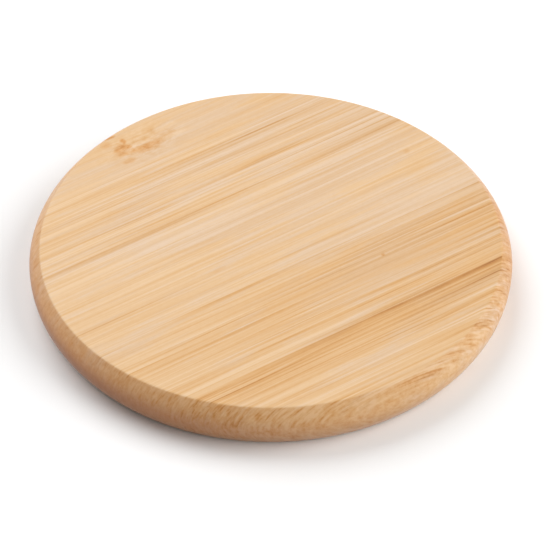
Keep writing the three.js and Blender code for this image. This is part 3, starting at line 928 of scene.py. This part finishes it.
def streaks(paint, x, across):
    """How much darker the streaks make a point."""
    total = 0
    for where, above, below, start, finish, strength in STREAKS:
        streak = paint.rise(across, where + above, where) * paint.rise(across, where - below, where)
        streak = streak * strength
        if start > -PAD_RADIUS:
            streak = streak * paint.rise(x, start - 8, start + 8)
        if finish < PAD_RADIUS:
            streak = streak * paint.rise(x, finish + 8, finish - 8)
        total = streak + total
    return total


def stains(paint, x, y, z):
    """How much darker the stains make a point of the charging face."""
    ragged = paint.grain(1.6, 0.8, 3, detail=3, roughness=0.65) * 2.6
    total = 0
    for stain_x, stain_y, half_length, half_width, strength in STAINS:
        along, beside = (x - stain_x) / half_length, (y - stain_y) / half_width
        total = paint.rise(along * along + beside * beside + ragged, 1.8, -0.8) * strength + total
    return total * paint.rise(z, BAMBOO_TOP - 2.0, BAMBOO_TOP - 0.6)


def bamboo_material():
    paint = Paint("bamboo")
    x, y, z = paint.place()
    normal_x, normal_y, normal_z = paint.normal()
    side = paint.rise(abs(normal_z), 0.97, 0.80)
    end = normal_x * normal_x * side
    # Where the side runs along the grain, the fibres lie flat in it and only a fine mottling shows.
    flat_grain = side * paint.rise(abs(normal_y), 0.80, 0.97)

    # Fibres wander a little, those behind the middle of the board lean, and all part round the joint.
    knuckle_x, knuckle_y = x - KNUCKLE[0], y - KNUCKLE[1]
    knuckle = paint.rise(knuckle_x * knuckle_x / 150 + knuckle_y * knuckle_y / 40, 1.0, 0.0)
    lean = x * 0.011 * paint.rise(y, -12, 15)
    drift = paint.grain(70, 24, 20, detail=1) * 0.7
    wobble = paint.grain(11, 2.2, 6) * (0.14 + 2.6 * knuckle)
    across = y - lean + drift + wobble

    tone, contrast = strip_tones(paint, x, across)
    broad = paint.noise(x / 150, across / 3.0, z / 9, detail=1)
    medium = paint.noise(x / 60, across / 0.85, z / 3, detail=1)
    fine = paint.noise(x / 30, across / 0.34, z / 1.3, detail=1)
    hairs = paint.rise(paint.noise(x / 34, across / 0.5, z / 2, detail=0), 0.10, 0.24)
    glints = paint.rise(paint.noise(x / 48, across / 0.6 + 40, z / 2, detail=0), 0.12, 0.26)
    strands = (broad * 0.33 + medium * 0.66) * (1 - 0.8 * flat_grain)
    threads = (fine * 0.55 - hairs * 0.17 + glints * 0.13) * (1 + 0.9 * side - 1.5 * flat_grain)
    fibres = (strands + threads) * (1 - 0.8 * end)
    blotches = paint.noise(x / 5, across / 2.2, z / 2, detail=3, roughness=0.6)
    mottle = paint.grain(1.3, 0.9, 0.9, detail=3, roughness=0.7)
    tone = tone + fibres * contrast + blotches * (0.08 + 0.20 * side + 1.3 * knuckle)
    tone = tone + mottle * (0.17 + 0.3 * knuckle + 0.70 * side + 0.4 * flat_grain)

    ebb = 1 + 1.6 * paint.noise(x / 18, across / 6, z / 10, detail=2)
    tone = tone - streaks(paint, x, across) * ebb * (1 - 0.8 * side)
    stained = stains(paint, x, y, z)
    tone = tone - stained

    colour = paint.ramp(
        tone,
        [
            (0.0, srgb(158, 104, 58)),
            (0.2, srgb(194, 141, 84)),
            (0.45, srgb(208, 162, 109)),
            (0.65, srgb(216, 177, 133)),
            (0.8, srgb(219, 185, 147)),
            (1.0, srgb(225, 196, 165)),
        ],
    )
    # Some fibres and some strips are warmer than others, and so is the end towards -X.
    warm, cool = srgb(255, 249, 234), srgb(251, 252, 255)
    hue = paint.noise(x / 30, across / 6, z / 12, detail=2) + 0.16 * paint.rise(across, -40, 20) - 0.13
    hue = hue + 0.7 * paint.noise(x / 9, across / 0.9, z / 3, detail=1) + 0.0026 * x
    colour = paint.blend(1.0, colour, paint.ramp(0.5 + hue, [(0.35, warm), (0.65, cool)]), mode="MULTIPLY")
    colour = paint.tinted(stained * 2, colour, srgb(255, 238, 214))

    # Painted shade: the turned side is tinted darker and warmer than the top, most of all at the lower edge
    # and towards -X.
    lower = paint.rise(z, BAMBOO_TOP - 0.5, BAMBOO_BOTTOM + 1.0)
    painted_side_shade = paint.ramp(lower, [(0.0, srgb(251, 240, 225)), (1.0, srgb(222, 207, 200))])
    side_shade_weight = side * (0.25 + 0.75 * paint.rise(normal_x, 0.45, -0.2))
    # Painted shade: the end grain facing -X is darker again towards the base.
    painted_foot_shade = end * paint.rise(z, 9.0, 4.5) * paint.rise(normal_x, 0.0, -0.4)
    # The painted side shade goes on first, then the end grain's own darker tone, then the painted shade at
    # its foot.
    colour = paint.tinted(side_shade_weight, colour, painted_side_shade)
    colour = paint.tinted(end, colour, srgb(244, 224, 218))
    colour = paint.tinted(painted_foot_shade, colour, srgb(208, 192, 182))
    paint.set(base_color=colour, roughness=0.5, specular_ior_level=0.3)
    paint.set(sheen_weight=0.25, sheen_roughness=0.3)
    paint.bump(fibres, 0.05)
    return paint.material


# ---------------------------------------------------------------- the other materials
def moulded_plastic():
    """Black ABS with the fine grain of a spark-eroded mould."""
    paint = Paint("moulded_plastic")
    grain, flow = paint.grain(0.22, roughness=0.6), paint.grain(12, detail=3)
    tone, roughness = 0.5 + grain * 0.9 + flow * 0.7, 0.5 + flow * 0.25 + grain * 0.2
    paint.set(specular_ior_level=0.45)
    return paint.finish(tone, (25, 25, 26), (41, 41, 42), bump=(grain, 0.05), roughness=roughness)


def silicone():
    """Soft dark grey rubber with a little dust in it."""
    paint = Paint("silicone")
    x, y, z = paint.place()
    bloom, skin_grain = paint.grain(4, detail=3), paint.grain(0.3)
    dust = paint.rise(paint.cells(x / 1.7, y / 1.7, z / 1.7), 0.11, 0.05)
    tone = 0.35 + bloom * 0.8 + skin_grain * 0.4 + dust * 0.4
    tones = [(0.0, srgb(44, 44, 46)), (0.6, srgb(62, 62, 63)), (1.0, srgb(108, 105, 100))]
    paint.set(base_color=paint.ramp(tone, tones), roughness=0.68 + bloom * 0.3)
    paint.set(specular_ior_level=0.35, sheen_weight=0.3, sheen_roughness=0.5)
    paint.bump(skin_grain, 0.03)
    return paint.material


def turned_steel():
    """Bright plated screws with the fine rings that turning and heading leave."""
    paint = Paint("turned_steel")
    across, along, _ = paint.parts(paint.node("ShaderNodeTexCoord", {}, output="Generated"))
    off_x, off_y = across - 0.5, along - 0.5
    radius = paint.math("SQRT", off_x * off_x + off_y * off_y)
    _, _, z = paint.place()
    rings = paint.noise(radius * 60, z * 4, 0.0)
    stain = paint.grain(0.9, detail=3)
    tone, roughness = 0.5 + stain + rings * 0.5, 0.32 + stain * 0.35 + rings * 0.2
    paint.set(metallic=1.0)
    return paint.finish(tone, (150, 149, 146), (206, 206, 204), bump=(rings, 0.01), roughness=roughness)


def drawn_steel():
    """The receptacle's shell: nickel-plated strip with drawing marks along the plug's way in."""
    paint = Paint("drawn_steel")
    marks, handling = paint.grain(0.12, 5, 0.12), paint.grain(2, detail=3)
    tone, roughness = 0.5 + marks * 0.7 + handling * 0.7, 0.28 + handling * 0.3 + marks * 0.15
    paint.set(metallic=1.0)
    return paint.finish(tone, (158, 157, 154), (214, 213, 211), bump=(marks, 0.01), roughness=roughness)


def tin():
    """Solder and tinned ends: bright, with soft frosty patches."""
    paint = Paint("tin")
    frost = paint.grain(0.5, detail=3, roughness=0.6)
    look = {"bump": (frost, 0.02), "span": (0.25, 0.75), "metallic": 1.0, "roughness": 0.36 + frost * 0.5}
    return paint.finish(0.5 + frost, (168, 168, 165), (214, 214, 211), **look)


def gold():
    """Gold over nickel, rubbed a little paler towards the tip of each contact."""
    paint = Paint("gold")
    _, y, _ = paint.place()
    rub = paint.grain(0.1, 1.5, 0.1)
    worn = paint.rise(y, TONGUE_ROOT_END + 1, TONGUE_ROOT_END + 4)
    tone = 0.3 + worn * 0.4 + rub
    paint.set(base_color=paint.two_tones(tone, (206, 158, 78), (236, 203, 136), span=(0.1, 0.9)))
    paint.set(metallic=1.0, roughness=0.25 + rub * 0.3)
    return paint.material


def connector_plastic():
    """The tongue's glass-filled black polymer, with flow lines towards the tip."""
    paint = Paint("connector_plastic")
    flow, fibres = paint.grain(0.5, 4, 0.5, detail=3), paint.grain(0.08, 0.4, 0.08)
    tone, roughness = 0.5 + flow + fibres * 0.5, 0.42 + flow * 0.3
    return paint.finish(tone, (18, 18, 19), (38, 38, 39), bump=(fibres, 0.01), roughness=roughness)


def clear_acrylic():
    """The light pipe: clear along its length, frosted on its outer end."""
    paint = Paint("clear_acrylic")
    _, y, _ = paint.place()
    frosted = paint.rise(y, pipe_high.y - 0.6, pipe_high.y - 0.2)
    cloud, grain = paint.grain(0.6, 2, 0.6, detail=3), paint.grain(0.1)
    tone, roughness = 0.7 + cloud * 0.6 - frosted * 0.2, 0.06 + frosted * 0.4 + cloud * 0.1
    paint.set(ior=1.49, transmission_weight=0.6)
    look = {"bump": (grain * frosted, 0.02), "span": (0.2, 0.9), "roughness": roughness}
    return paint.finish(tone, (214, 218, 216), (244, 246, 245), **look)


def circuit_board():
    """Green solder mask over tracks, filled areas and tinned vias. The cut edge shows the laminate."""
    paint = Paint("circuit_board")
    x, y, _ = paint.place()
    _, _, normal_z = paint.normal()
    track_pitch, half_track, soft = 0.9, 0.14, 0.03
    patches = paint.noise(x / 6, y / 6, 0.0, detail=0)
    along_x, along_y = (
        paint.rise(paint.math("PINGPONG", place, track_pitch / 2), half_track + soft, half_track)
        for place in (y, x)
    )
    tracks = along_x + paint.rise(patches, -0.01, 0.01) * (along_y - along_x)
    filled = paint.rise(paint.noise(x / 9 + 20, y / 9, 0.0, detail=1), 0.02, 0.04)
    copper = paint.math("MAXIMUM", tracks, filled)
    to_via = paint.cells(x / 2.6, y / 2.6, 0.0, randomness=0.8)
    ring = paint.rise(to_via, 0.14, 0.12)
    hole = paint.rise(to_via, 0.06, 0.05)
    cloth = paint.noise(x / 0.6, y / 0.6, 0.0)
    mask = paint.two_tones(copper * 0.8 + cloth * 0.4, (14, 66, 44), (36, 112, 70), span=(0.0, 1.0))
    face = paint.blend(ring, mask, srgb(204, 203, 196))
    face = paint.blend(hole, face, srgb(22, 30, 26))
    layers = paint.grain(1.5, 1.5, 0.08, detail=1)
    laminate = paint.two_tones(0.5 + layers, (150, 140, 96), (196, 188, 146), span=(0.3, 0.7))
    edge = paint.rise(abs(normal_z), 0.7, 0.5)
    paint.set(base_color=paint.blend(edge, face, laminate), metallic=ring * (1 - hole) * (1 - edge))
    paint.set(roughness=0.34 + edge * 0.4 + cloth * 0.1)
    paint.bump(copper + ring * 0.5 - hole, 0.03)
    return paint.material


def speckled(name, dark, pale, size, roughness, bump_height):
    """A body colour that varies between two tones in grains of that size, in millimetres."""
    paint = Paint(name)
    fine, cloud = paint.grain(size, detail=3, roughness=0.65), paint.grain(8 * size)
    look = {"bump": (fine, bump_height), "roughness": roughness + fine * 0.25}
    return paint.finish(0.5 + fine + cloud, dark, pale, **look)


def chip_resistor():
    """White alumina with black glass printed on top."""
    paint = Paint("chip_resistor")
    _, _, normal_z = paint.normal()
    grit = paint.grain(0.15)
    alumina = paint.two_tones(0.5 + grit, (205, 203, 196), (232, 230, 224))
    glass = paint.two_tones(0.5 + grit, (18, 18, 20), (34, 34, 38))
    printed = paint.rise(normal_z, 0.6, 0.8)
    paint.set(base_color=paint.blend(printed, alumina, glass), roughness=0.6 - printed * 0.35 + grit * 0.1)
    paint.bump(grit, 0.01)
    return paint.material


def litz_wire():
    """Enamelled copper strands under a thin amber serving."""
    paint = Paint("litz_wire")
    strands, heat = paint.grain(0.09), paint.grain(6, detail=3)
    tones = [(0.2, srgb(132, 66, 30)), (0.55, srgb(186, 106, 54)), (0.85, srgb(222, 150, 88))]
    paint.set(base_color=paint.ramp(0.5 + strands + heat * 0.6, tones), metallic=0.75)
    paint.set(roughness=0.38 + strands * 0.3, coat_weight=0.4, coat_roughness=0.25)
    paint.bump(strands, 0.02)
    return paint.material


def ferrite():
    """Sintered ferrite: dark grey, finely crackled so that it can bend a little without breaking."""
    paint = Paint("ferrite")
    x, y, _ = paint.place()
    grain = paint.grain(0.18, detail=3)
    inputs = {"Vector": paint.vector(x / 2.4, y / 2.4, 0.0), "Scale": 1.0}
    to_crack = paint.node("ShaderNodeTexVoronoi", inputs, feature="DISTANCE_TO_EDGE")
    crack = paint.rise(to_crack, 0.03, 0.0)
    tone, roughness = 0.55 + grain * 0.8 - crack * 0.5, 0.45 + grain * 0.3 + crack * 0.3
    look = {"bump": (grain * 0.3 - crack, 0.03), "span": (0.1, 0.9), "roughness": roughness}
    return paint.finish(tone, (28, 27, 28), (74, 72, 73), **look)


def thin_film(name, dark, pale, roughness, clear, **settings):
    """A plastic film that shows rolling marks along it and slow changes in its thickness."""
    paint = Paint(name)
    x, y, z = paint.place()
    rolled, cloud = paint.noise(x / 20, y / 0.7, z), paint.noise(x / 7, y / 7, z, detail=3)
    paint.set(transmission_weight=clear, **settings)
    look = {"bump": (rolled, 0.01), "roughness": roughness + rolled * 0.2}
    return paint.finish(0.5 + rolled * 0.8 + cloud * 0.8, dark, pale, **look)


def open_cell_foam():
    """Charcoal foam with pores about half a millimetre across."""
    paint = Paint("open_cell_foam")
    x, y, z = paint.place()
    pores = paint.cells(x / 0.55, y / 0.55, z / 0.55)
    cloud = paint.grain(3, detail=3)
    paint.set(sheen_weight=0.2, sheen_roughness=0.6)
    look = {"bump": (pores, 0.25), "span": (0.1, 0.7), "roughness": 0.92 + cloud * 0.1}
    return paint.finish(pores + cloud * 0.5, (30, 30, 32), (84, 84, 86), **look)


def paint_piece(piece, material):
    """Gives a piece, or a CAD node's object, this material and no other."""
    piece.data.materials.clear()
    piece.data.materials.append(material)


def paint_all():
    plastic, steel, plating = moulded_plastic(), turned_steel(), tin()
    resin = speckled("chip_resin", (24, 24, 26), (46, 46, 48), 0.12, 0.55, 0.02)
    ceramic = speckled("capacitor_ceramic", (136, 104, 74), (176, 142, 106), 0.2, 0.5, 0.02)
    for piece, material in (
        (housing, bamboo_material()),
        (cover, plastic),
        (ring, silicone()),
        (bezel, plastic),
        (shell, drawn_steel()),
        (tongue, connector_plastic()),
        (contacts, gold()),
        (pipe, clear_acrylic()),
        (coil, litz_wire()),
        (foam, open_cell_foam()),
        (window, speckled("phosphor", (214, 186, 74), (240, 220, 120), 0.08, 0.6, 0.01)),
        *((screw, steel) for screw in screw_pieces),
        *((piece, plating) for piece in tinned_pieces),
    ):
        paint_piece(piece, material)

    cad_finishes = {
        "main_pcb": circuit_board(),
        "control_ic": resin,
        "bridge_mosfet_1": resin,
        "bridge_mosfet_2": resin,
        "current_sense_resistor": chip_resistor(),
        "indicator_led": speckled("led_resin", (222, 222, 216), (240, 240, 236), 0.15, 0.45, 0.01),
        "ferrite_shield": ferrite(),
        "coil_tape": thin_film("polyester_tape", (196, 176, 92), (232, 216, 140), 0.4, 0.25),
        "insulating_film": thin_film("polyimide_film", (150, 84, 20), (214, 140, 48), 0.22, 0.3, ior=1.7),
        "ntc_thermistor": speckled("thermistor_resin", (26, 36, 30), (52, 66, 56), 0.1, 0.3, 0.02),
    }
    for node in END_CAPPED:
        cad_finishes.setdefault(node, ceramic)
    for node, material in cad_finishes.items():
        paint_piece(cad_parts[node], material)


paint_all()


# ---------------------------------------------------------------- stage
def pale_floor():
    bm = bmesh.new()
    bmesh.ops.create_grid(bm, x_segments=1, y_segments=1, size=3000)
    floor = object_from_bmesh("floor", bm)
    paint = Paint("floor")
    x, y, _ = paint.place()
    cloud = 0.5 + paint.noise(x / 400, y / 400, 0.0)
    paint.set(base_color=paint.ramp(cloud, [(0, srgb(250, 250, 250)), (1, srgb(253, 253, 253))]))
    paint.set(roughness=0.9)
    floor.data.materials.append(paint.material)


def softbox(name, bearing, elevation, distance, size, watts):
    """A round light aimed at the pad. The bearing is anticlockwise from the camera's right, in degrees."""
    angle = math.radians(bearing + CAMERA_AZIMUTH)
    rise = math.radians(elevation)
    towards = Vector((math.cos(angle) * math.cos(rise), math.sin(angle) * math.cos(rise), math.sin(rise)))
    data = bpy.data.lights.new(name, "AREA")
    data.shape = "DISK"
    data.size = size
    data.energy = watts
    light = new_object(name, data)
    light.location = towards * distance
    light.rotation_euler = towards.to_track_quat("Z", "Y").to_euler()


def light_the_scene():
    world = bpy.data.worlds.new("studio")
    world.use_nodes = True
    background = world.node_tree.nodes["Background"]
    background.inputs["Color"].default_value = (1, 1, 1, 1)
    background.inputs["Strength"].default_value = 0.28
    bpy.context.scene.world = world
    softbox("right_light", bearing=350, elevation=34, distance=1.4, size=1.5, watts=18)
    softbox("left_light", bearing=130, elevation=42, distance=1.4, size=1.5, watts=18)


pale_floor()
light_the_scene()
bpy.context.scene.view_settings.view_transform = "Standard"
